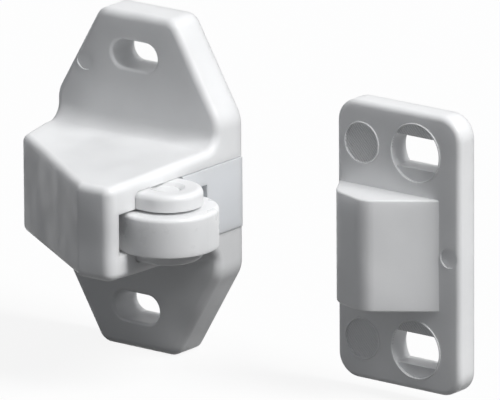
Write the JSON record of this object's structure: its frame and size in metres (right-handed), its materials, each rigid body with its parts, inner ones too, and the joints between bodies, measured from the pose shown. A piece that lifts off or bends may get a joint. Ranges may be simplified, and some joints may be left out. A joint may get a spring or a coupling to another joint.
{
  "type": "roller catch",
  "caption": "Sprung roller catch for a cupboard door: screw plate with a wedge-shaped housing and a side roller, with the separate humped strike plate it snaps over.",
  "frame": {"origin": "centre of the catch housing's flat back face", "axes": "+Y out of the back face into the wall it is screwed to, +X towards the side where the roller comes out, +Z along the row of screw slots"},
  "size_m": [0.0622, 0.026, 0.044],
  "materials": {
    "housing": "satin",
    "rear_insert": "satin",
    "roller_carrier": "satin",
    "roller": "satin",
    "axle_pin": "satin",
    "spring": "bright drawn wire",
    "strike_plate": "satin"
  },
  "bodies": {
    "catch_body": {"housing": "housing", "rear_insert": "rear_insert", "spring": "spring", "strike_plate": "strike_plate"},
    "carrier": {"roller_carrier": "roller_carrier", "axle_pin": "axle_pin"},
    "roller": {"roller": "roller"}
  },
  "joints": [
    {"name": "carrier_slide", "type": "slide", "parent": "catch_body", "child": "carrier", "axis": [-1, 0, 0], "range_m": [0, 0.005], "stiffness_N_per_m": 1690, "springref_m": -0.0024, "deforming": ["spring"]},
    {"name": "roller_spin", "type": "hinge", "parent": "carrier", "child": "roller", "pos_m": [0.014, -0.0164, 0], "axis": [0, 0, 1], "continuous": true}
  ]
}
